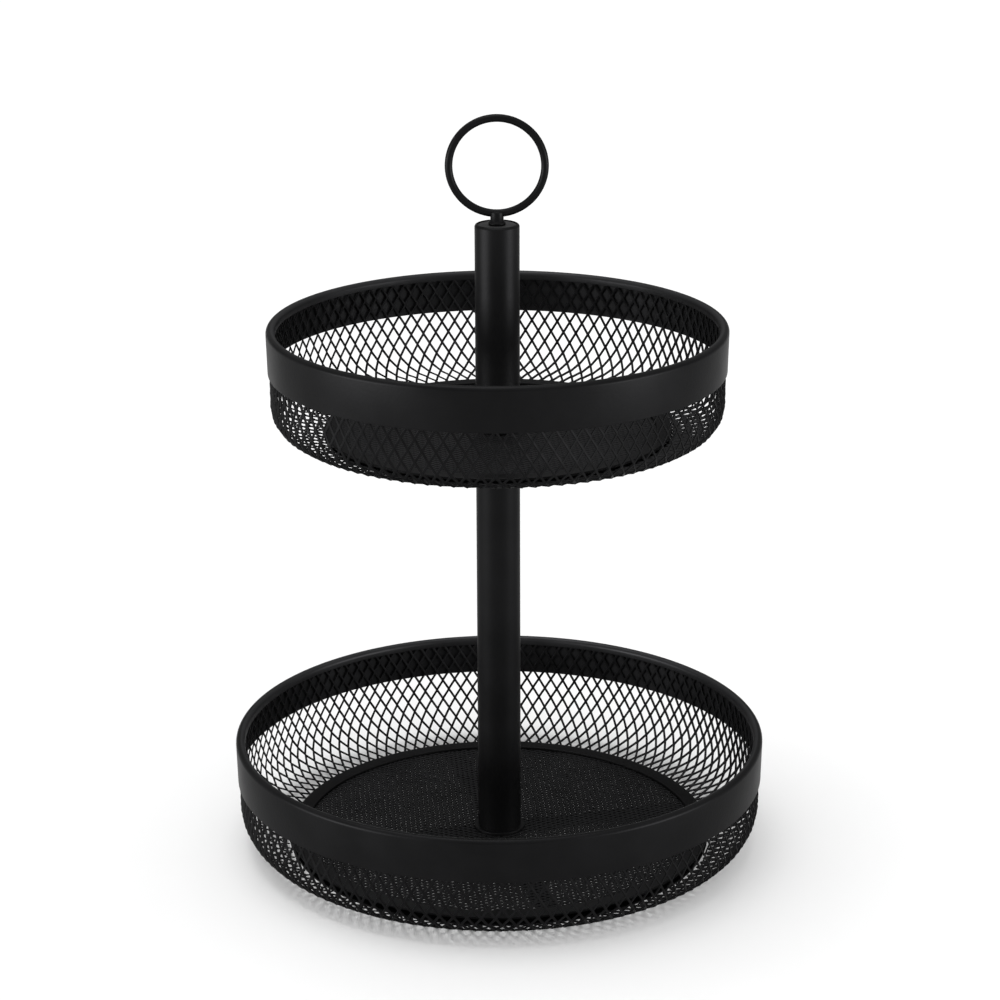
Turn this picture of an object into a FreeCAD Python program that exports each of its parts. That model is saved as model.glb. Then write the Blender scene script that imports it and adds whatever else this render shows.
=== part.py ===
"""Two-tier mesh basket: two bowls of expanded metal clamped on a central pole with a ring handle.

Millimetres, +Z up. The origin is on the surface that the basket stands on, in the middle of the pole.
"""
import FreeCAD, Part
import math
import os
import Sketcher

V = FreeCAD.Vector

# Driving dimensions. A length named upper_ or lower_ belongs to that bowl alone.
SIZES = {
    # Pole: two lengths of tube with threaded plugs in their ends
    "pole_radius": 11.0,
    "pole_wall": 1.5,
    "pole_edge_flat": 1.2,
    "pole_top": 323.0,
    "plug_length": 12.0,
    "plug_gap": 0.05,
    "cap_recess": 0.5,
    "thread_radius": 3.0,
    "thread_gap": 0.05,
    "washer_radius": 13.2,
    "washer_thickness": 1.2,
    "hole_clearance": 0.2,
    # Ring handle, its boss and the threaded end of the boss
    "ring_radius": 23.25,
    "ring_wire_radius": 1.9,
    "ring_wire_sides": 10,
    "ring_stand_off": 3.25,
    "ring_seat_gap": 0.02,
    "boss_radius": 3.25,
    "boss_head_drop": 0.95,
    "collar_radius": 4.2,
    "collar_height": 1.5,
    "collar_slope": 0.9,
    "boss_thread_length": 9.0,
    # Sheet-metal rims, the same section on both bowls
    "band_height": 22.0,
    "rim_sheet": 0.6,
    "rim_curl_radius": 2.3,
    "rim_curl_leg": 2.0,
    "rim_curl_flats": 4,
    "rim_taper": 0.45,
    "rim_gap": 0.1,
    # Mesh, floors, base rings and braces, the same stock in both bowls
    "mesh_thickness": 0.9,
    "mesh_strand": 1.9,
    "mesh_edge": 2.2,
    "mesh_rows": 4,
    "mesh_bend_flats": 3,
    "mesh_tuck_gap": 0.7,
    "mesh_seat_width": 3.0,
    "mesh_hem_width": 2.0,
    "floor_thickness": 0.8,
    "floor_cell_width": 20.0,
    "floor_cell_length": 32.0,
    "floor_strand": 2.6,
    "ring_width": 7.7,
    "ring_thickness": 1.2,
    "ring_edge_flat": 0.5,
    "brace_width": 10.0,
    "brace_thickness": 1.2,
    "brace_angle": 14.0,
    "brace_end_gap": 0.1,
    # Lower bowl
    "lower_rim_radius": 135.0,
    "lower_rim_top": 58.0,
    "lower_bottom": 0.0,
    "lower_corner_radius": 25.0,
    "lower_floor_rise": 1.9,
    "lower_ring_outer": 108.0,
    "lower_columns": 36,
    # Upper bowl
    "upper_rim_radius": 113.6,
    "upper_rim_top": 272.9,
    "upper_bottom": 217.4,
    "upper_corner_radius": 19.0,
    "upper_floor_rise": 0.5,
    "upper_ring_outer": 86.3,
    "upper_columns": 30,
    # Stud between the tubes and the screw under the lower bowl
    "stud_depth": 10.0,
    "screw_depth": 10.0,
    "screw_head_radius": 6.0,
    "screw_head_height": 1.3,
}

doc = FreeCAD.newDocument("tiered_basket")
sheet = doc.addObject("Spreadsheet::Sheet", "sizes")
for row, (alias, number) in enumerate(SIZES.items(), start=1):
    sheet.set(f"A{row}", alias)
    sheet.set(f"B{row}", str(number))
    sheet.setAlias(f"B{row}", alias)
doc.recompute()


class Dim:
    """A length that knows its number and the sheet formula that gives it."""

    def __init__(self, value, text):
        self.value = value
        self.text = text

    def joined(self, other, sign, value):
        return Dim(value, f"({self.text} {sign} {as_dim(other).text})")

    def __add__(self, other):
        return self.joined(other, "+", self.value + as_dim(other).value)

    def __sub__(self, other):
        return self.joined(other, "-", self.value - as_dim(other).value)

    def __mul__(self, other):
        return self.joined(other, "*", self.value * as_dim(other).value)


def as_dim(number):
    return number if isinstance(number, Dim) else Dim(float(number), repr(number))


def size(alias):
    """The sheet's value under an alias."""
    return Dim(float(sheet.get(alias)), f"sizes.{alias}")


ZERO = as_dim(0)


def bind(target, path, dim):
    target.setExpression(path, dim.text)


def pin_point(sketch, geometry, vertex, across, up):
    """Fix one sketch point at a distance from the sketch origin, each way tied to the sheet."""
    for kind, axis, dim in (("DistanceX", -2, across), ("DistanceY", -1, up)):
        if dim is ZERO:
            sketch.addConstraint(Sketcher.Constraint("PointOnObject", geometry, vertex, axis))
        else:
            index = sketch.addConstraint(
                Sketcher.Constraint(kind, -1, 1, geometry, vertex, dim.value))
            bind(sketch, f"Constraints[{index}]", dim)


def origin_feature(body, role):
    return next(item for item in body.Origin.OriginFeatures if item.Role == role)


def new_sketch(body, name, role):
    sketch = body.newObject("Sketcher::SketchObject", name)
    sketch.AttachmentSupport = [(origin_feature(body, role), "")]
    sketch.MapMode = "FlatFace"
    return sketch


def turned_body(label, outline):
    """Revolve a closed outline of (radius, height) corners about the pole."""
    body = doc.addObject("PartDesign::Body", label)
    body.Label = label
    sketch = new_sketch(body, f"{label}_outline", "XZ_Plane")
    corners = [V(across.value, up.value, 0) for across, up in outline]
    for index, corner in enumerate(corners):
        sketch.addGeometry(Part.LineSegment(corners[index - 1], corner))
    for index, (across, up) in enumerate(outline):
        following = (index + 1) % len(outline)
        sketch.addConstraint(Sketcher.Constraint("Coincident", index, 2, following, 1))
        pin_point(sketch, index, 2, across, up)
    turn = body.newObject("PartDesign::Revolution", f"{label}_turn")
    turn.Profile = sketch
    turn.ReferenceAxis = (sketch, ["V_Axis"])
    turn.Angle = 360
    body.Tip = turn
    return body


def arc_corners(centre_across, centre_up, radius, start, sweep, flats):
    """Corners of an arc drawn in equal flats, angles in degrees from +X."""
    angles = [math.radians(start + sweep * step / flats) for step in range(flats + 1)]
    return [
        (centre_across + radius * math.cos(angle), centre_up + radius * math.sin(angle))
        for angle in angles]


def disc_with_hole(label, outer, hole, bottom, top):
    return turned_body(label, [(hole, bottom), (outer, bottom), (outer, top), (hole, top)])


def round_bar(label, radius, bottom, height):
    bar = doc.addObject("Part::Cylinder", label)
    bar.Label = label
    bind(bar, "Radius", radius)
    bind(bar, "Height", height)
    bind(bar, "Placement.Base.z", bottom)
    return bar


class Bowl:
    """Heights and radii that the pieces of one bowl share."""

    def __init__(self, name):
        self.name = name
        self.rim_radius = size(f"{name}_rim_radius")
        self.rim_top = size(f"{name}_rim_top")
        self.band_bottom = self.rim_top - size("band_height")
        self.bottom = size(f"{name}_bottom")
        self.corner = size(f"{name}_corner_radius")
        self.ring_outer = size(f"{name}_ring_outer")
        self.ring_inner = self.ring_outer - size("ring_width")
        self.columns = int(size(f"{name}_columns").value)
        self.hem_inside = self.ring_inner * math.cos(math.pi / self.columns)
        self.seat_inner = self.ring_outer - size("mesh_seat_width")
        self.hem_outer = self.ring_inner + size("mesh_hem_width")
        self.curl_height = self.rim_top - size("rim_curl_radius")
        self.mesh_top = self.rim_top - size("rim_sheet") - size("mesh_tuck_gap")
        self.mesh_outer = self.rim_radius - size("rim_taper") - size("rim_sheet") - size("rim_gap")
        self.bend_centre = self.mesh_outer - self.corner
        self.bend_height = self.bottom + self.corner
        self.flange = self.bottom + size(f"{name}_floor_rise")
        self.floor_bottom = self.flange + size("mesh_thickness")
        self.floor_top = self.floor_bottom + size("floor_thickness")
        self.brace_bottom = self.floor_bottom - size("brace_thickness")
        self.washer_top = self.floor_top + size("washer_thickness")


lower = Bowl("lower")
upper = Bowl("upper")
thread_bore = size("thread_radius") + size("thread_gap")
bolt_hole = size("thread_radius") + size("hole_clearance")
tube_bore = size("pole_radius") - size("pole_wall")
plug_radius = tube_bore - size("plug_gap")
cap_top = size("pole_top") - size("cap_recess")
ring_centre = size("pole_top") + size("ring_stand_off") + size("ring_wire_radius") + size("ring_radius")


# Rim band: one strip of sheet, rolled over at the top into a lip that hides the edge of the mesh
def rim_band(bowl):
    sheet_gauge = size("rim_sheet")
    curl = size("rim_curl_radius")
    curl_centre = bowl.rim_radius - curl
    leg_end = bowl.curl_height - size("rim_curl_leg")
    foot = bowl.rim_radius - size("rim_taper")
    flats = int(size("rim_curl_flats").value)
    return turned_body(f"{bowl.name}_rim_band", [
        (foot - sheet_gauge, bowl.band_bottom),
        (foot, bowl.band_bottom),
        *arc_corners(curl_centre, bowl.curl_height, curl, 0, 180, flats),
        (curl_centre - curl, leg_end),
        (curl_centre - curl + sheet_gauge, leg_end),
        *arc_corners(curl_centre, bowl.curl_height, curl - sheet_gauge, 180, -180, flats),
    ])


# Side mesh: a wall of flat panels, one to a diamond, with rows of diamonds cut square to it
def wall_section(bowl):
    """Corners of the wall's section: straight, bent in, flat where it stands, then a hem for the floor."""
    gauge = size("mesh_thickness")
    flats = int(size("mesh_bend_flats").value)
    return [
        (bowl.mesh_outer - gauge, bowl.mesh_top),
        *arc_corners(bowl.bend_centre, bowl.bend_height, bowl.corner - gauge, 0, -90, flats),
        (bowl.seat_inner, bowl.bottom + gauge),
        (bowl.hem_outer, bowl.floor_bottom),
        (bowl.ring_inner, bowl.floor_bottom),
        (bowl.ring_inner, bowl.flange),
        (bowl.hem_outer, bowl.flange),
        (bowl.seat_inner, bowl.bottom),
        *arc_corners(bowl.bend_centre, bowl.bend_height, bowl.corner, -90, 90, flats),
        (bowl.mesh_outer, bowl.mesh_top),
    ]


def panelled_wall(section, panels):
    """A closed ring of flat panels with the section at the corners between them."""
    half_turn = math.pi / panels
    faces = []
    for panel in range(panels):
        turn = FreeCAD.Rotation(V(0, 0, 1), 360 / panels * panel)
        for (radius, up), (next_radius, next_up) in zip(section, section[1:] + section[:1]):
            near = V(radius.value * math.cos(half_turn), radius.value * math.sin(half_turn), up.value)
            far = V(
                next_radius.value * math.cos(half_turn), next_radius.value * math.sin(half_turn), next_up.value)
            corners = [V(near.x, -near.y, near.z), near, far, V(far.x, -far.y, far.z)]
            corners = [turn.multVec(corner) for corner in corners]
            faces.append(Part.Face(Part.makePolygon(corners + corners[:1])))
    return Part.Solid(Part.Shell(faces)).removeSplitter()


class WallLine:
    """The middle of the wall's thickness, followed down from the top edge to the base ring."""

    def __init__(self, bowl):
        half_gauge = size("mesh_thickness").value / 2
        self.radius = bowl.mesh_outer.value - half_gauge
        self.top = bowl.mesh_top.value
        self.bend_radius = bowl.corner.value - half_gauge
        self.bend_centre = bowl.bend_centre.value
        self.bend_height = bowl.bend_height.value
        self.straight = self.top - self.bend_height
        self.bend = self.bend_radius * math.pi / 2
        self.length = self.straight + self.bend + self.bend_centre - bowl.ring_outer.value

    def point(self, along):
        """Radius, height and lean in radians, a distance down the wall."""
        if along <= self.straight:
            return self.radius, self.top - along, 0.0
        lean = min((along - self.straight) / self.bend_radius, math.pi / 2)
        flat_run = max(along - self.straight - self.bend, 0.0)
        radius = self.bend_centre + self.bend_radius * math.cos(lean) - flat_run
        return radius, self.bend_height - self.bend_radius * math.sin(lean), lean


def diamond(half_width, half_height, strand):
    """Corners of a diamond cell, drawn in on all sides by half a strand."""
    inset = 1 - strand / 2 * math.hypot(half_width, half_height) / (half_width * half_height)
    return [
        V(half_width * inset, 0, 0), V(0, half_height * inset, 0),
        V(-half_width * inset, 0, 0), V(0, -half_height * inset, 0)]


def side_mesh(bowl):
    line = WallLine(bowl)
    columns = bowl.columns
    wall = panelled_wall(wall_section(bowl), columns)
    rows = int(size("mesh_rows").value)
    edge = size("mesh_edge").value
    row_step = (line.length - 2 * edge) / (rows + 1)
    upright = FreeCAD.Placement(V(), FreeCAD.Rotation(V(1, 0, 0), 90))
    cutters = []
    for row in range(rows):
        along = edge + row_step * (row + 1)
        radius, height, lean = line.point(along)
        above = line.point(along - row_step)
        below = line.point(along + row_step)
        half_height = math.hypot(above[0] - below[0], above[1] - below[1]) / 2
        half_width = math.pi * radius / columns
        corners = diamond(half_width, half_height, size("mesh_strand").value)
        cutter = Part.Face(Part.makePolygon(corners + corners[:1])).extrude(V(0, 0, row_step))
        on_wall = FreeCAD.Placement(
            V(0, height, radius), FreeCAD.Rotation(V(1, 0, 0), math.degrees(lean)))
        centred = FreeCAD.Placement(V(0, 0, -row_step / 2), FreeCAD.Rotation())
        for column in range(columns):
            turn = FreeCAD.Rotation(V(0, 0, 1), 360 / columns * (column + row % 2 / 2))
            copy = cutter.copy()
            copy.Placement = FreeCAD.Placement(V(), turn) * upright * on_wall * centred
            cutters.append(copy)
    mesh = doc.addObject("Part::Feature", f"{bowl.name}_side_mesh")
    mesh.Label = f"{bowl.name}_side_mesh"
    mesh.Shape = wall.cut(cutters)
    return mesh


# Base ring: flat strip with broken edges, laid over the seam of side mesh and floor
def base_ring(bowl):
    top = bowl.floor_top + size("ring_thickness")
    flat = size("ring_edge_flat")
    return turned_body(f"{bowl.name}_base_ring", [
        (bowl.ring_inner, bowl.floor_top),
        (bowl.ring_outer, bowl.floor_top),
        (bowl.ring_outer, top - flat),
        (bowl.ring_outer - flat, top),
        (bowl.ring_inner + flat, top),
        (bowl.ring_inner, top - flat),
    ])


# Floor: a flat net, one disc with rows of diamond gaps between the bolt hole and the ring
def floor_mesh(bowl):
    half_width = size("floor_cell_width").value / 2
    half_length = size("floor_cell_length").value / 2
    strand = size("floor_strand").value
    disc_radius = bowl.ring_outer.value - size("ring_edge_flat").value
    outer_limit = bowl.ring_inner.value - strand
    hub_limit = size("washer_radius").value + strand
    turn = FreeCAD.Rotation(V(0, 0, 1), size("brace_angle").value)
    corners = diamond(half_width, half_length, strand)
    edges = [Part.Wire(Part.Circle(V(), V(0, 0, 1), radius).toShape())
             for radius in (disc_radius, bolt_hole.value)]
    reach = int(outer_limit / half_width) + 1
    for column in range(-reach, reach + 1):
        for row in range(-reach, reach + 1):
            centre = V(column * half_width, row * half_length, 0)
            cell = [turn.multVec(centre + corner) for corner in corners]
            farthest = max(point.Length for point in cell)
            if (column + row) % 2 or farthest > outer_limit or centre.Length - half_length < hub_limit:
                continue
            edges.append(Part.makePolygon(cell + cell[:1]))
    face = Part.makeFace(edges, "Part::FaceMakerBullseye")
    floor = doc.addObject("Part::Feature", f"{bowl.name}_floor_mesh")
    floor.Label = f"{bowl.name}_floor_mesh"
    floor.Shape = face.extrude(V(0, 0, size("floor_thickness").value))
    floor.Placement = FreeCAD.Placement(V(0, 0, bowl.floor_bottom.value), FreeCAD.Rotation())
    return floor


# Cross brace: two flat bars under the floor, trimmed round at the base ring and drilled for the bolt
def cross_brace(bowl):
    label = f"{bowl.name}_cross_brace"
    reach = bowl.hem_inside - size("brace_end_gap")
    bars = []
    for index in range(2):
        bar = doc.addObject("Part::Box", f"{label}_bar_{index}")
        bind(bar, "Length", reach * 2)
        bind(bar, "Width", size("brace_width"))
        bind(bar, "Height", size("brace_thickness"))
        turn = FreeCAD.Rotation(V(0, 0, 1), size("brace_angle").value + 90 * index)
        corner = turn.multVec(V(-reach.value, -size("brace_width").value / 2, bowl.brace_bottom.value))
        bar.Placement = FreeCAD.Placement(corner, turn)
        bars.append(bar)
    cross = doc.addObject("Part::MultiFuse", f"{label}_cross")
    cross.Shapes = bars
    trim = round_bar(f"{label}_trim", reach, bowl.brace_bottom, size("brace_thickness"))
    trimmed = doc.addObject("Part::Common", f"{label}_trimmed")
    trimmed.Base = cross
    trimmed.Tool = trim
    drill = round_bar(f"{label}_drill", bolt_hole, bowl.brace_bottom, size("brace_thickness"))
    brace = doc.addObject("Part::Cut", label)
    brace.Base = trimmed
    brace.Tool = drill
    brace.Label = label
    return brace


# Pole: tubes stand on the washers, and the lower one carries the brace of the upper bowl
def upper_tube():
    flat = size("pole_edge_flat")
    return turned_body("upper_tube", [
        (tube_bore, upper.washer_top),
        (size("pole_radius"), upper.washer_top),
        (size("pole_radius"), size("pole_top") - flat),
        (size("pole_radius") - flat, size("pole_top")),
        (tube_bore, size("pole_top")),
    ])


def lower_tube():
    return disc_with_hole("lower_tube", size("pole_radius"), tube_bore, lower.washer_top, upper.brace_bottom)


def foot_washer(bowl):
    return disc_with_hole(
        f"{bowl.name}_foot_washer", size("washer_radius"), bolt_hole, bowl.floor_top, bowl.washer_top)


def threaded_plug(label, bottom):
    return disc_with_hole(label, plug_radius, thread_bore, bottom, bottom + size("plug_length"))


# Handle: the ring is set into the head of the boss, whose threaded end screws into the cap
def wire_ring(label, wire_radius):
    """The upright ring, or the channel that takes it, with the wire drawn in flats."""
    sides = int(size("ring_wire_sides").value)
    section = arc_corners(size("ring_radius"), ZERO, wire_radius, 180 / sides, 360, sides)
    ring = turned_body(label, section[:-1])
    ring.Placement = FreeCAD.Placement(V(), FreeCAD.Rotation(V(1, 0, 0), 90))
    bind(ring, "Placement.Base.z", ring_centre)
    return ring


def handle_boss():
    collar_top = cap_top + size("collar_height")
    boss_top = ring_centre - size("ring_radius") + size("ring_wire_radius") - size("boss_head_drop")
    thread_end = cap_top - size("boss_thread_length")
    turned = turned_body("handle_boss_turned", [
        (ZERO, thread_end),
        (size("thread_radius"), thread_end),
        (size("thread_radius"), cap_top),
        (size("collar_radius"), cap_top),
        (size("collar_radius"), collar_top),
        (size("boss_radius"), collar_top + size("collar_slope")),
        (size("boss_radius"), boss_top),
        (ZERO, boss_top),
    ])
    boss = doc.addObject("Part::Cut", "handle_boss")
    boss.Label = "handle_boss"
    boss.Base = turned
    boss.Tool = wire_ring("handle_boss_channel", size("ring_wire_radius") + size("ring_seat_gap"))
    return boss


# Fastenings inside the pole
def tie_stud():
    bottom = upper.brace_bottom - size("stud_depth")
    return round_bar("tie_stud", size("thread_radius"), bottom,
                     upper.washer_top + size("stud_depth") - bottom)


def base_screw():
    head_bottom = lower.brace_bottom - size("screw_head_height")
    tip = lower.washer_top + size("screw_depth")
    return turned_body("base_screw", [
        (ZERO, head_bottom),
        (size("screw_head_radius"), head_bottom),
        (size("screw_head_radius"), lower.brace_bottom),
        (size("thread_radius"), lower.brace_bottom),
        (size("thread_radius"), tip),
        (ZERO, tip),
    ])


pieces = [
    wire_ring("handle_ring", size("ring_wire_radius")),
    handle_boss(),
    threaded_plug("pole_cap", cap_top - size("plug_length")),
    upper_tube(),
    threaded_plug("upper_tube_foot", upper.washer_top),
    foot_washer(upper),
    rim_band(upper),
    side_mesh(upper),
    base_ring(upper),
    floor_mesh(upper),
    cross_brace(upper),
    tie_stud(),
    threaded_plug("lower_tube_head", upper.brace_bottom - size("plug_length")),
    lower_tube(),
    threaded_plug("lower_tube_foot", lower.washer_top),
    foot_washer(lower),
    rim_band(lower),
    side_mesh(lower),
    base_ring(lower),
    floor_mesh(lower),
    cross_brace(lower),
    base_screw(),
]
doc.recompute()

# Nothing is written unless every step of the document worked
for item in doc.Objects:
    if "Invalid" in item.State or "Error" in item.State:
        raise RuntimeError(f"{item.Label} failed: {item.State}")
for piece in pieces:
    if piece.Shape.isNull() or not piece.Shape.isValid() or not piece.Shape.Solids:
        raise RuntimeError(f"{piece.Label} has no valid solid")

os.makedirs("parts", exist_ok=True)
for piece in pieces:
    piece.Shape.exportStep(f"parts/{piece.Label}.step")
    print(piece.Label, len(piece.Shape.Solids), round(piece.Shape.Volume, 1), len(piece.Shape.Faces))
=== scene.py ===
"""Looks of the two-tier mesh basket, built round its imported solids.

Metres in Blender, millimetres in the named sizes below, +Z up, with the origin on the table in the middle of
the pole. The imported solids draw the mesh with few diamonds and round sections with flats, so most visible
pieces are made again here at full count and fully round. The lower tube, the cross braces and the hidden
fastenings stay as packed.
"""
import math
from dataclasses import dataclass

import bpy
from mathutils import Matrix, Vector


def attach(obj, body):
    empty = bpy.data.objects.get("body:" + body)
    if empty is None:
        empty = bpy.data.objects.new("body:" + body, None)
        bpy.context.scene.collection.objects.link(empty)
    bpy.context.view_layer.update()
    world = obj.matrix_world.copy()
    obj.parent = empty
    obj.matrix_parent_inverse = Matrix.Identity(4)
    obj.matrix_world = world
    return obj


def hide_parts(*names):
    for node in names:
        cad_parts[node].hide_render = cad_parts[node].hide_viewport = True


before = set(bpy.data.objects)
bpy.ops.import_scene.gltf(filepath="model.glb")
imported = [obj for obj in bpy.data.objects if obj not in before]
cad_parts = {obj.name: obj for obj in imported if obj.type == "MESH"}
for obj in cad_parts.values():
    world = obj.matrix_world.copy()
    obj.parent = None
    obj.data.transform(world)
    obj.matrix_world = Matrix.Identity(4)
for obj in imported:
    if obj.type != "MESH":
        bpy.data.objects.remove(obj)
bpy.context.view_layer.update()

MM = 0.001
BODY = "root"
PLATED_NODES = ("upper_tube_foot", "tie_stud", "lower_tube_head", "lower_tube_foot", "base_screw")

# Pole and handle, in millimetres
POLE_RADIUS = 11.0
POLE_BORE = 9.5
POLE_TOP = 323.0
POLE_EDGE_ROUND = 1.4
POLE_MOUTH_DROP = 0.1
CAP_RADIUS = 9.45
CAP_RECESS = 0.5
CAP_HEIGHT = 12.0
CAP_EDGE_ROUND = 0.3
THREAD_BORE = 3.05
WASHER_RADIUS = 13.2
WASHER_HEIGHT = 1.2
WASHER_EDGE_ROUND = 0.3
BOLT_HOLE = 3.2
RING_RADIUS = 23.25
RING_WIRE = 1.9
RING_CENTRE = 351.4
BOSS_RADIUS = 3.25
BOSS_TOP = 329.1
BOSS_EDGE_ROUND = 0.5
BOSS_CORE = 0.02
COLLAR_RADIUS = 4.2
COLLAR_HEIGHT = 1.5
COLLAR_SLOPE = 0.9
COLLAR_EDGE_TURN = 50

# Rims, seats and base rings, the same section on both bowls
BAND_HEIGHT = 22.0
RIM_SHEET = 0.6
RIM_CURL = 2.3
RIM_LEG = 2.0
RIM_TAPER = 0.45
BASE_RING_HEIGHT = 1.2
BASE_RING_ROUND = 0.5
HEM_WIDTH = 2.0
SEAT_WIDTH = 3.0
SHEET = 0.9
FLOOR_SHEET = 0.8

# Expanded metal of the side walls: half sizes of the bond where strands meet, then the strand's make
BOND_HALF_LENGTH = 1.15
BOND_HALF_WIDTH = 0.70
BOND_SHOULDER = 0.1
STRAND_THICKNESS = 0.74
STRAND_LEAN = 0.36
STRAND_EDGE_ROUND = 0.18
WALL_TOP_MARGIN = 1.0

# No less than the lean and half the thickness together, so that no strand dips below the table
WALL_INSET = 0.74

# Expanded metal of the floors, a much finer net of flat diamonds that lie across the view
NET_CELL_LENGTH = 5.1
NET_CELL_WIDTH = 3.05
NET_TURN = 4.0
NET_BOND_HALF_LENGTH = 0.8
NET_BOND_HALF_WIDTH = 0.62
NET_BOND_SHOULDER = 0.2
NET_THICKNESS = 0.5
NET_LEAN = 0.14
NET_DROP = 0.05

# Facets of whole turns, then of the arcs in a section
ROUND_SEGMENTS = 192
RING_SEGMENTS = 160
POLE_SEGMENTS = 128
SMALL_SEGMENTS = 64
WIRE_STEPS = 28
CURL_STEPS = 20
CURL_INNER_STEPS = 14
EDGE_STEPS = 8
BASE_RING_STEPS = 6
BOSS_TOP_STEPS = 5
SMALL_EDGE_STEPS = 4
COAT_EDGE_STEPS = 2

# Angles from which an edge stays sharp, or is rounded by the coat
CREASE = math.radians(40)
NET_CREASE = math.radians(50)
NO_CREASE = math.pi
COATED_EDGE = math.radians(60)


@dataclass
class Bowl:
    """Sizes of one bowl, slope and phase in degrees, with its mesh counted and placed from the photograph."""
    name: str
    rim_radius: float
    rim_top: float
    mesh_outer: float
    mesh_top: float
    bottom: float
    bend: float
    slope: float
    floor_rise: float
    ring_outer: float
    ring_inner: float
    columns: int
    phase: float
    first_row: float
    row_step: float

    @property
    def floor_bottom(self):
        return self.bottom + self.floor_rise + SHEET

    @property
    def floor_top(self):
        return self.floor_bottom + FLOOR_SHEET

    @property
    def washer_top(self):
        return self.floor_top + WASHER_HEIGHT


LOWER = Bowl(
    name="lower", rim_radius=135.0, rim_top=58.0, mesh_outer=133.85, mesh_top=56.7,
    bottom=0.0, bend=20.0, slope=15.0, floor_rise=1.9, ring_outer=108.0, ring_inner=100.3,
    columns=123, phase=127.15, first_row=24.0, row_step=5.55)
UPPER = Bowl(
    name="upper", rim_radius=113.6, rim_top=272.9, mesh_outer=112.45, mesh_top=271.6,
    bottom=217.4, bend=14.0, slope=12.0, floor_rise=0.5, ring_outer=86.3, ring_inner=78.6,
    columns=102, phase=137.07, first_row=25.6, row_step=5.6)


# Materials
@dataclass
class Grain:
    """A noise, counted per metre, and the bumps that it raises: strength, and height in metres."""
    scale: float
    detail: float
    strength: float = 0.0
    height: float = 0.0


PATCHES = Grain(scale=38.0, detail=3.0)
PEEL = Grain(scale=620.0, detail=2.0, strength=0.35, height=0.00012)
FINE = Grain(scale=2400.0, detail=2.0, strength=0.25, height=0.00005)
TURNING_MARKS = Grain(scale=700.0, detail=4.0, strength=0.2, height=0.00004)
FLOOR_PATCHES = Grain(scale=3.0, detail=3.0)

# Parts of a noise that are spread between two colours or two values
COLOUR_START = 0.35
COLOUR_END = 0.65
VALUE_START = 0.3
VALUE_END = 0.7

# Shader of the coat, and the share of the usual edge glare that its fine texture keeps
COAT_METALLIC = 0.62
COAT_SPECULAR = 0.1
GLARE = 0.5

# Painted light, fitted: the faces that look at the pole are made paler, over a short blend at the edges, for
# the light from above and in front that falls on the inner faces of bands and walls
BAND_INSIDE_PAINTED_LIGHT = 3.0
MESH_INSIDE_PAINTED_LIGHT = 1.8
PAINTED_LIGHT_BLEND = 0.02

PLATED_DARK = (0.42, 0.43, 0.46)
PLATED_LIGHT = (0.62, 0.63, 0.65)
PLATED_SMOOTH = 0.28
PLATED_ROUGH = 0.42
MARK_STRETCH = (1.0, 1.0, 14.0)

FLOOR_DARK = (0.83, 0.83, 0.83)
FLOOR_LIGHT = (0.86, 0.86, 0.86)
FLOOR_ROUGHNESS = 0.6
FLOOR_SPECULAR = 0.2


def new_material(name):
    """A node material, its shader, and the node that gives places and normals on the piece."""
    material = bpy.data.materials.new(name)
    material.use_nodes = True
    nodes = material.node_tree.nodes
    return material, nodes["Principled BSDF"], nodes.new("ShaderNodeTexCoord")


def add_noise(material, place, grain):
    noise = material.node_tree.nodes.new("ShaderNodeTexNoise")
    noise.inputs["Scale"].default_value = grain.scale
    noise.inputs["Detail"].default_value = grain.detail
    material.node_tree.links.new(place, noise.inputs["Vector"])
    return noise.outputs["Fac"]


def add_ramp(material, factor, low, high):
    """Spread a noise between two colours."""
    ramp = material.node_tree.nodes.new("ShaderNodeValToRGB")
    ramp.color_ramp.elements[0].position = COLOUR_START
    ramp.color_ramp.elements[1].position = COLOUR_END
    ramp.color_ramp.elements[0].color = (*low, 1.0)
    ramp.color_ramp.elements[1].color = (*high, 1.0)
    material.node_tree.links.new(factor, ramp.inputs["Fac"])
    return ramp.outputs["Color"]


def add_range(owner, value, low, high, start=VALUE_START, end=VALUE_END):
    """Spread the part of a value from start to end between low and high."""
    spread = owner.node_tree.nodes.new("ShaderNodeMapRange")
    spread.inputs["From Min"].default_value = start
    spread.inputs["From Max"].default_value = end
    spread.inputs["To Min"].default_value = low
    spread.inputs["To Max"].default_value = high
    owner.node_tree.links.new(value, spread.inputs["Value"])
    return spread.outputs["Result"]


def add_bump(material, noise, grain, share=1.0, normal=None):
    """Raise a noise by a share of its grain's strength, over another bump if one is given."""
    bump = material.node_tree.nodes.new("ShaderNodeBump")
    bump.inputs["Strength"].default_value = grain.strength * share
    bump.inputs["Distance"].default_value = grain.height
    material.node_tree.links.new(noise, bump.inputs["Height"])
    if normal is not None:
        material.node_tree.links.new(normal, bump.inputs["Normal"])
    return bump.outputs["Normal"]


def painted_inside_light_gain(material, coordinates, inside_painted_light):
    """Gain of the painted light: one on faces that look away from the pole, and the gain of the painted light
    on those that look at it.
    """
    nodes = material.node_tree.nodes
    links = material.node_tree.links
    level = nodes.new("ShaderNodeVectorMath")
    level.operation = "MULTIPLY"
    level.inputs[1].default_value = (1.0, 1.0, 0.0)
    links.new(coordinates.outputs["Object"], level.inputs[0])
    facing = nodes.new("ShaderNodeVectorMath")
    facing.operation = "DOT_PRODUCT"
    links.new(level.outputs["Vector"], facing.inputs[0])
    links.new(coordinates.outputs["Normal"], facing.inputs[1])
    return add_range(material, facing.outputs["Value"], inside_painted_light, 1.0, -PAINTED_LIGHT_BLEND, PAINTED_LIGHT_BLEND)


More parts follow.
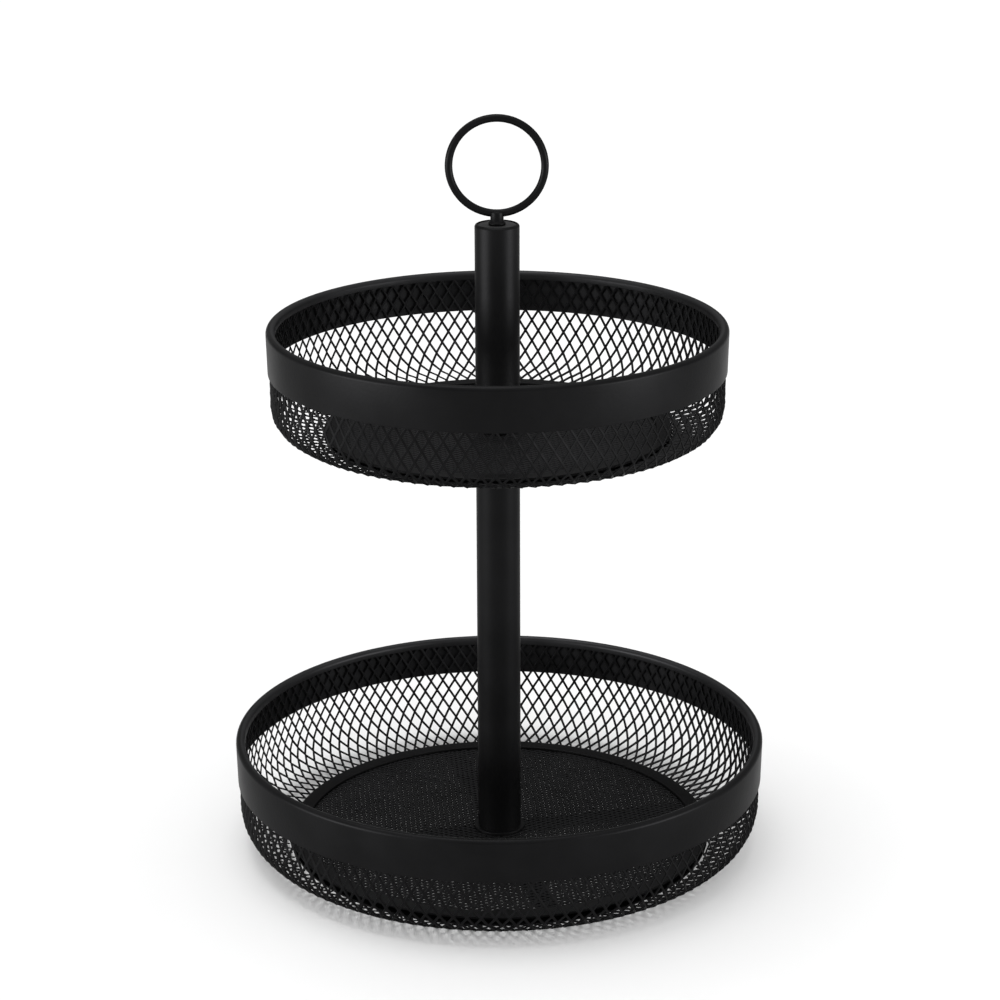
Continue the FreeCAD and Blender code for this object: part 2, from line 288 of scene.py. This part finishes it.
def powder_coat(name, dark, light, smooth, rough, texture, inside_painted_light=None):
    """Baked black powder: soft orange peel, a finer grain on top, and patches of slightly different sheen.

    Painted light: faces that look at the pole are made paler by the given gain, fitted to tones in the
    photograph.
    """
    material, shader, coordinates = new_material(name)
    links = material.node_tree.links
    place = coordinates.outputs["Object"]
    patches = add_noise(material, place, PATCHES)
    peel = add_noise(material, place, PEEL)
    fine = add_noise(material, place, FINE)
    colour = add_ramp(material, patches, dark, light)
    # Painted light: the colour is scaled up on faces that look at the pole
    if inside_painted_light:
        painted_light_node = material.node_tree.nodes.new("ShaderNodeVectorMath")
        painted_light_node.operation = "SCALE"
        links.new(colour, painted_light_node.inputs[0])
        links.new(painted_inside_light_gain(material, coordinates, inside_painted_light), painted_light_node.inputs["Scale"])
        colour = painted_light_node.outputs["Vector"]
    links.new(colour, shader.inputs["Base Color"])
    links.new(add_range(material, patches, smooth, rough), shader.inputs["Roughness"])
    peeled = add_bump(material, peel, PEEL, texture)
    links.new(add_bump(material, fine, FINE, texture, peeled), shader.inputs["Normal"])
    shader.inputs["Metallic"].default_value = COAT_METALLIC
    shader.inputs["Specular IOR Level"].default_value = COAT_SPECULAR
    shader.inputs["Specular Tint"].default_value = (GLARE, GLARE, GLARE, 1.0)
    return material


def plated_steel(name):
    """Bright zinc plating with fine turning marks."""
    material, shader, coordinates = new_material(name)
    links = material.node_tree.links
    stretch = material.node_tree.nodes.new("ShaderNodeMapping")
    stretch.inputs["Scale"].default_value = MARK_STRETCH
    links.new(coordinates.outputs["Object"], stretch.inputs["Vector"])
    marks = add_noise(material, stretch.outputs["Vector"], TURNING_MARKS)
    links.new(add_ramp(material, marks, PLATED_DARK, PLATED_LIGHT), shader.inputs["Base Color"])
    links.new(add_range(material, marks, PLATED_SMOOTH, PLATED_ROUGH), shader.inputs["Roughness"])
    links.new(add_bump(material, marks, TURNING_MARKS), shader.inputs["Normal"])
    shader.inputs["Metallic"].default_value = 1.0
    return material


def pale_floor(name):
    material, shader, coordinates = new_material(name)
    patches = add_noise(material, coordinates.outputs["Object"], FLOOR_PATCHES)
    colour = add_ramp(material, patches, FLOOR_DARK, FLOOR_LIGHT)
    material.node_tree.links.new(colour, shader.inputs["Base Color"])
    shader.inputs["Roughness"].default_value = FLOOR_ROUGHNESS
    shader.inputs["Specular IOR Level"].default_value = FLOOR_SPECULAR
    return material


SMOOTH_COAT = powder_coat(
    "coat_smooth", dark=(0.0072, 0.0072, 0.0075), light=(0.0090, 0.0090, 0.0094),
    smooth=0.38, rough=0.45, texture=1.0)
# The bands and walls carry painted light on the faces that look at the pole
BAND_COAT_PAINTED_LIGHT = powder_coat(
    "coat_band", dark=(0.0072, 0.0072, 0.0075), light=(0.0090, 0.0090, 0.0094),
    smooth=0.38, rough=0.45, texture=1.0, inside_painted_light=BAND_INSIDE_PAINTED_LIGHT)
MESH_COAT_PAINTED_LIGHT = powder_coat(
    "coat_mesh_painted_light", dark=(0.0066, 0.0066, 0.0069), light=(0.0090, 0.0090, 0.0094),
    smooth=0.44, rough=0.54, texture=0.7, inside_painted_light=MESH_INSIDE_PAINTED_LIGHT)
# Painted light: the floor nets' coat is paler than the walls', for the overhead light that falls on them
NET_COAT_PAINTED_LIGHT = powder_coat(
    "coat_net", dark=(0.0105, 0.0105, 0.0110), light=(0.0140, 0.0140, 0.0146),
    smooth=0.44, rough=0.54, texture=0.7)
# Painted light: the cap's coat is made far paler than the rest, for the overhead light and glare on its top
# face
CAP_COAT_PAINTED_LIGHT = powder_coat(
    "coat_cap_painted_light", dark=(0.0470, 0.0470, 0.0480), light=(0.0580, 0.0580, 0.0592),
    smooth=0.46, rough=0.54, texture=1.0)
PLATED = plated_steel("zinc_plated")


# Mesh helpers
def new_piece(name, points, faces, material, sharp=CREASE):
    """A smooth-shaded object from points in millimetres, with creases kept sharp."""
    mesh = bpy.data.meshes.new(name)
    mesh.from_pydata([Vector(point) * MM for point in points], [], faces)
    mesh.validate()
    mesh.polygons.foreach_set("use_smooth", [True] * len(mesh.polygons))
    mesh.set_sharp_from_angle(angle=sharp)
    mesh.materials.append(material)
    piece = bpy.data.objects.new(name, mesh)
    bpy.context.scene.collection.objects.link(piece)
    return piece


def stand_for(piece, *nodes):
    """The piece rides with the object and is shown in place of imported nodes."""
    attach(piece, BODY)
    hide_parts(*nodes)


def arc(across, up, radius, start, end, steps):
    """Points of an arc in a section, angles in degrees from +X."""
    angles = [math.radians(start + (end - start) * step / steps) for step in range(steps + 1)]
    return [(across + radius * math.cos(angle), up + radius * math.sin(angle)) for angle in angles]


def turned_mesh(section, segments):
    """Points and faces of a closed (radius, height) section, counter-clockwise, turned about +Z."""
    points = []
    faces = []
    count = len(section)
    for segment in range(segments):
        angle = 2 * math.pi * segment / segments
        points += [(r * math.cos(angle), r * math.sin(angle), z) for r, z in section]
    for segment in range(segments):
        here = segment * count
        there = (segment + 1) % segments * count
        for corner in range(count):
            after = (corner + 1) % count
            faces.append((here + corner, there + corner, there + after, here + after))
    return points, faces


def turned(name, section, material=SMOOTH_COAT, segments=ROUND_SEGMENTS):
    return new_piece(name, *turned_mesh(section, segments), material)


# Expanded metal: each bond is a six-sided plate, and a strand runs from each upper side of it to the next row
CORNERS = 6
TOP, RIGHT_HIGH, RIGHT_LOW, BOTTOM, LEFT_LOW, LEFT_HIGH = range(CORNERS)


def bond_corners(half_width, half_length, shoulder, lean):
    """Corner offsets (across, along, lean) of one bond, clockwise from its top."""
    return [
        (0.0, half_length, 0.0),
        (half_width, shoulder, -lean),
        (half_width, -shoulder, -lean),
        (0.0, -half_length, 0.0),
        (-half_width, -shoulder, lean),
        (-half_width, shoulder, lean)]


def expanded_metal(bonds, around=None):
    """Faces of the bonds, numbered by (half column, row), and of the strands between them.

    The net closes on itself after as many half columns as around says.
    """
    first = {key: CORNERS * number for number, key in enumerate(bonds)}
    faces = []
    for (column, row), here in first.items():
        faces.append((here + TOP, here + LEFT_HIGH, here + LEFT_LOW, here + BOTTOM))
        faces.append((here + TOP, here + BOTTOM, here + RIGHT_LOW, here + RIGHT_HIGH))
        right = (column + 1) % around if around else column + 1
        left = (column - 1) % around if around else column - 1
        there = first.get((right, row + 1))
        if there is not None:
            faces.append((here + TOP, here + RIGHT_HIGH, there + BOTTOM, there + LEFT_LOW))
        there = first.get((left, row + 1))
        if there is not None:
            faces.append((here + LEFT_HIGH, here + TOP, there + RIGHT_LOW, there + BOTTOM))
    return faces


def thicken(piece, thickness, edge_round=0.0):
    """Give a sheet its gauge, and round its cut edges as a baked coat does."""
    solid = piece.modifiers.new("gauge", "SOLIDIFY")
    solid.thickness = thickness * MM
    solid.offset = 0.0
    if edge_round:
        soft = piece.modifiers.new("coat", "BEVEL")
        soft.width = edge_round * MM
        soft.segments = COAT_EDGE_STEPS
        soft.limit_method = "ANGLE"
        soft.angle_limit = COATED_EDGE


class WallPath:
    """The line that the side mesh follows down from the lip: straight, bent in, then a slope to the ring."""

    def __init__(self, bowl):
        slope = math.radians(bowl.slope)
        slope_start = bowl.mesh_outer - bowl.bend * (1 - math.sin(slope))
        slope_drop = (slope_start - bowl.ring_outer) * math.tan(slope)
        self.radius = bowl.mesh_outer - WALL_INSET
        self.top = bowl.mesh_top
        self.bend_radius = bowl.bend - WALL_INSET
        self.bend_centre = bowl.mesh_outer - bowl.bend
        self.bend_height = bowl.bottom + slope_drop + bowl.bend * math.cos(slope)
        self.lowest = bowl.bottom + WALL_INSET
        self.straight = self.top - self.bend_height
        self.full_lean = math.pi / 2 - slope
        self.bend = self.bend_radius * self.full_lean
        self.end = self.straight + self.bend + slope_start - (bowl.ring_outer - SEAT_WIDTH)

    def place(self, along, outward):
        """Radius and height of a point a distance down the wall, set off square to it."""
        if along <= self.straight:
            return self.radius + outward, self.top - along
        lean = min((along - self.straight) / self.bend_radius, self.full_lean)
        slope_run = max(along - self.straight - self.bend, 0.0)
        reach = self.bend_radius + outward
        radius = self.bend_centre + reach * math.cos(lean) - slope_run * math.sin(lean)
        height = self.bend_height - reach * math.sin(lean) - slope_run * math.cos(lean)
        return radius, max(height, self.lowest - outward)


# Mesh of a bowl
def side_mesh(bowl):
    path = WallPath(bowl)
    corners = bond_corners(BOND_HALF_WIDTH, BOND_HALF_LENGTH, BOND_SHOULDER, STRAND_LEAN)
    rows_above = int((bowl.first_row - WALL_TOP_MARGIN) / bowl.row_step)
    rows_below = int((path.end - bowl.first_row) / bowl.row_step)
    around = 2 * bowl.columns
    half_pitch = math.pi / bowl.columns
    bonds = []
    points = []
    for row in range(-rows_below, rows_above + 1):
        along = bowl.first_row - row * bowl.row_step
        for half_column in range(row % 2, around, 2):
            bonds.append((half_column, row))
            azimuth = math.radians(bowl.phase) + half_column * half_pitch
            for across, up, lean in corners:
                radius, height = path.place(along - up, lean)
                angle = azimuth + across / radius
                points.append((radius * math.cos(angle), radius * math.sin(angle), height))
    piece = new_piece(f"{bowl.name}_wall", points, expanded_metal(bonds, around), MESH_COAT_PAINTED_LIGHT, NO_CREASE)
    thicken(piece, STRAND_THICKNESS, STRAND_EDGE_ROUND)
    stand_for(piece, f"{bowl.name}_side_mesh")


def hem(bowl):
    """The mesh's uncut edge: a flat that the bowl stands on and a raised hem that carries the floor."""
    seat_inner = bowl.ring_outer - SEAT_WIDTH
    seat_top = bowl.bottom + SHEET
    hem_outer = bowl.ring_inner + HEM_WIDTH
    flange = bowl.bottom + bowl.floor_rise
    section = [
        (bowl.ring_inner, flange),
        (hem_outer, flange),
        (seat_inner, bowl.bottom),
        (bowl.ring_outer, bowl.bottom),
        (bowl.ring_outer, seat_top),
        (seat_inner, seat_top),
        (hem_outer, bowl.floor_bottom),
        (bowl.ring_inner, bowl.floor_bottom),
    ]
    stand_for(turned(f"{bowl.name}_hem", section), f"{bowl.name}_side_mesh")


def floor_net(bowl):
    corners = bond_corners(NET_BOND_HALF_WIDTH, NET_BOND_HALF_LENGTH, NET_BOND_SHOULDER, NET_LEAN)
    half_width = NET_CELL_WIDTH / 2
    half_length = NET_CELL_LENGTH / 2
    limit = bowl.ring_inner + HEM_WIDTH
    middle = bowl.floor_top - NET_THICKNESS / 2 - NET_LEAN - NET_DROP
    turn = Matrix.Rotation(math.radians(NET_TURN), 3, "Z")
    bonds = []
    points = []
    columns = int(limit / half_width)
    rows = int(limit / half_length)
    for row in range(-rows, rows + 1):
        for column in range(-columns, columns + 1):
            centre = Vector((row * half_length, column * half_width, 0.0))
            if (row + column) % 2 or not BOLT_HOLE < centre.length < limit:
                continue
            bonds.append((column, row))
            for across, along, lean in corners:
                flat = turn @ (centre + Vector((along, across, 0.0)))
                points.append((flat.x, flat.y, middle - lean))
    # The net wears the paler coat, painted light from above
    piece = new_piece(f"{bowl.name}_net", points, expanded_metal(bonds), NET_COAT_PAINTED_LIGHT, NET_CREASE)
    thicken(piece, NET_THICKNESS)
    stand_for(piece, f"{bowl.name}_floor_mesh")


# Turned pieces of a bowl
def rim_band(bowl):
    curl_height = bowl.rim_top - RIM_CURL
    curl_centre = bowl.rim_radius - RIM_CURL
    leg_end = curl_height - RIM_LEG
    foot = bowl.rim_radius - RIM_TAPER
    foot_height = bowl.rim_top - BAND_HEIGHT
    lip_inside = bowl.rim_radius - 2 * RIM_CURL
    edge = RIM_SHEET / 2
    section = [
        *arc(foot - edge, foot_height + edge, edge, 180, 360, EDGE_STEPS),
        *arc(curl_centre, curl_height, RIM_CURL, 0, 180, CURL_STEPS),
        *arc(lip_inside + edge, leg_end + edge, edge, 180, 360, EDGE_STEPS),
        *arc(curl_centre, curl_height, RIM_CURL - RIM_SHEET, 180, 0, CURL_INNER_STEPS),
    ]
    stand_for(turned(f"{bowl.name}_band", section, BAND_COAT_PAINTED_LIGHT), f"{bowl.name}_rim_band")


def base_ring(bowl):
    top = bowl.floor_top + BASE_RING_HEIGHT
    corner = BASE_RING_ROUND
    section = [
        (bowl.ring_inner, bowl.floor_top),
        (bowl.ring_outer, bowl.floor_top),
        *arc(bowl.ring_outer - corner, top - corner, corner, 0, 90, BASE_RING_STEPS),
        *arc(bowl.ring_inner + corner, top - corner, corner, 90, 180, BASE_RING_STEPS),
    ]
    stand_for(turned(f"{bowl.name}_seam_ring", section), f"{bowl.name}_base_ring")


def foot_washer(bowl):
    edge = WASHER_EDGE_ROUND
    section = [
        (BOLT_HOLE, bowl.floor_top),
        (WASHER_RADIUS, bowl.floor_top),
        *arc(WASHER_RADIUS - edge, bowl.washer_top - edge, edge, 0, 90, SMALL_EDGE_STEPS),
        (BOLT_HOLE, bowl.washer_top),
    ]
    piece = turned(f"{bowl.name}_washer", section, segments=SMALL_SEGMENTS)
    stand_for(piece, f"{bowl.name}_foot_washer")


# Pole and handle
def upper_pole():
    edge = POLE_EDGE_ROUND
    section = [
        (POLE_BORE, UPPER.washer_top),
        (POLE_RADIUS, UPPER.washer_top),
        *arc(POLE_RADIUS - edge, POLE_TOP - edge, edge, 0, 90, EDGE_STEPS),
        (POLE_BORE, POLE_TOP - POLE_MOUTH_DROP),
    ]
    stand_for(turned("pole_upper", section, segments=POLE_SEGMENTS), "upper_tube")


def pole_top_disc():
    top = POLE_TOP - CAP_RECESS
    edge = CAP_EDGE_ROUND
    section = [
        (THREAD_BORE, top - CAP_HEIGHT),
        (CAP_RADIUS, top - CAP_HEIGHT),
        *arc(CAP_RADIUS - edge, top - edge, edge, 0, 90, SMALL_EDGE_STEPS),
        (THREAD_BORE, top),
    ]
    # The disc wears the paler coat, painted light for the glare on its top
    stand_for(turned("pole_disc", section, CAP_COAT_PAINTED_LIGHT, POLE_SEGMENTS), "pole_cap")


def ring_handle():
    section = arc(RING_RADIUS, 0.0, RING_WIRE, 0, 360, WIRE_STEPS)[:-1]
    points, faces = turned_mesh(section, RING_SEGMENTS)
    upright = Matrix.Rotation(math.radians(90), 3, "X")
    lifted = [upright @ Vector(point) + Vector((0.0, 0.0, RING_CENTRE)) for point in points]
    stand_for(new_piece("ring_wire", lifted, faces, SMOOTH_COAT), "handle_ring")


def ring_boss():
    """Collar and boss, with a hair-thin core left open so that every face has four corners."""
    foot = POLE_TOP - CAP_RECESS
    collar_top = foot + COLLAR_HEIGHT
    edge = BOSS_EDGE_ROUND
    section = [
        (BOSS_CORE, foot),
        (COLLAR_RADIUS - edge, foot),
        *arc(COLLAR_RADIUS - edge, foot + edge, edge, -90, 0, SMALL_EDGE_STEPS),
        *arc(COLLAR_RADIUS - edge, collar_top - edge, edge, 0, COLLAR_EDGE_TURN, SMALL_EDGE_STEPS),
        (BOSS_RADIUS, collar_top + COLLAR_SLOPE),
        *arc(BOSS_RADIUS - edge, BOSS_TOP - edge, edge, 0, 90, BOSS_TOP_STEPS),
        (BOSS_CORE, BOSS_TOP),
    ]
    stand_for(turned("boss", section, segments=SMALL_SEGMENTS), "handle_boss")


for bowl in (LOWER, UPPER):
    side_mesh(bowl)
    hem(bowl)
    floor_net(bowl)
    rim_band(bowl)
    base_ring(bowl)
    foot_washer(bowl)
upper_pole()
pole_top_disc()
ring_handle()
ring_boss()

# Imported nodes: the fastenings are bright steel, and everything else has the coat
for node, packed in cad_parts.items():
    packed.data.materials.clear()
    packed.data.materials.append(PLATED if node in PLATED_NODES else SMOOTH_COAT)

# Stage: floor reach in millimetres, lights in metres and watts
FLOOR_REACH = 40000.0
AIM = Vector((0.0, 0.0, 0.16))
BOX_HEIGHT = 0.45
SUN_STRENGTH = 1.2
SUN_WIDTH = math.radians(36)
SUN_DIRECTION = Vector((0.13, -0.1, -1.0))
WALL_GLOW = 0.12
CEILING_GLOW = 1.35
WHITE = (1.0, 1.0, 1.0, 1.0)

# Camera, fitted to the rims, ring and pole in the photograph: metres, radians, then millimetres of lens
CAMERA_PLACE = (0.0009, -1.32557, 0.61979)
CAMERA_DIP = 0.3191
CAMERA_ROLL = -0.0041
CAMERA_SENSOR = 36.0
CAMERA_LENS = 100.345
CAMERA_REACH = 100.0


def turn_towards(direction):
    """Turn of a light that shines in a direction."""
    return direction.to_track_quat("-Z", "Y").to_euler()


def soft_box(name, place, width, watts, spared):
    """A rectangular light that shines on everything but the spared objects."""
    light = bpy.data.lights.new(name, "AREA")
    light.shape = "RECTANGLE"
    light.size = width
    light.size_y = BOX_HEIGHT
    light.energy = watts
    box = bpy.data.objects.new(name, light)
    box.location = place
    box.rotation_euler = turn_towards(AIM - Vector(place))
    box.light_linking.receiver_collection = spared
    bpy.context.scene.collection.objects.link(box)


def add_sun():
    """A wide soft light from overhead, a little behind and to the left."""
    light = bpy.data.lights.new("overhead", "SUN")
    light.energy = SUN_STRENGTH
    light.angle = SUN_WIDTH
    sun = bpy.data.objects.new("overhead", light)
    sun.rotation_euler = turn_towards(SUN_DIRECTION)
    bpy.context.scene.collection.objects.link(sun)


def add_world():
    """Dim walls and a bright ceiling, so that light falls off towards the foot of the basket."""
    world = bpy.data.worlds.new("studio")
    world.use_nodes = True
    nodes = world.node_tree.nodes
    links = world.node_tree.links
    direction = nodes.new("ShaderNodeSeparateXYZ")
    links.new(nodes.new("ShaderNodeTexCoord").outputs["Generated"], direction.inputs["Vector"])
    glow = add_range(world, direction.outputs["Z"], WALL_GLOW, CEILING_GLOW, 0.0, 1.0)
    links.new(glow, nodes["Background"].inputs["Strength"])
    nodes["Background"].inputs["Color"].default_value = WHITE
    bpy.context.scene.world = world


def add_camera():
    data = bpy.data.cameras.new("camera")
    data.sensor_width = CAMERA_SENSOR
    data.lens = CAMERA_LENS
    data.clip_end = CAMERA_REACH
    camera = bpy.data.objects.new("camera", data)
    camera.matrix_world = (
        Matrix.Translation(CAMERA_PLACE)
        @ Matrix.Rotation(math.pi / 2 - CAMERA_DIP, 4, "X")
        @ Matrix.Rotation(CAMERA_ROLL, 4, "Z"))
    bpy.context.scene.collection.objects.link(camera)
    bpy.context.scene.camera = camera


floor = new_piece(
    "floor",
    [(-FLOOR_REACH, -FLOOR_REACH, 0), (FLOOR_REACH, -FLOOR_REACH, 0),
     (FLOOR_REACH, FLOOR_REACH, 0), (-FLOOR_REACH, FLOOR_REACH, 0)],
    [(0, 1, 2, 3)], pale_floor("pale_floor"))

# The boxes would wash out the contact shadow, so the floor is lit from above alone
spared_floor = bpy.data.collections.new("spared_by_boxes")
spared_floor.objects.link(floor)
spared_floor.collection_objects[0].light_linking.link_state = "EXCLUDE"
soft_box("left_box", place=(-1.64, -0.72, 0.24), width=1.2, watts=29.0, spared=spared_floor)
soft_box("right_box", place=(1.6, -0.70, 0.24), width=1.0, watts=22.0, spared=spared_floor)
add_sun()
add_world()
add_camera()
bpy.context.scene.view_settings.view_transform = "Standard"
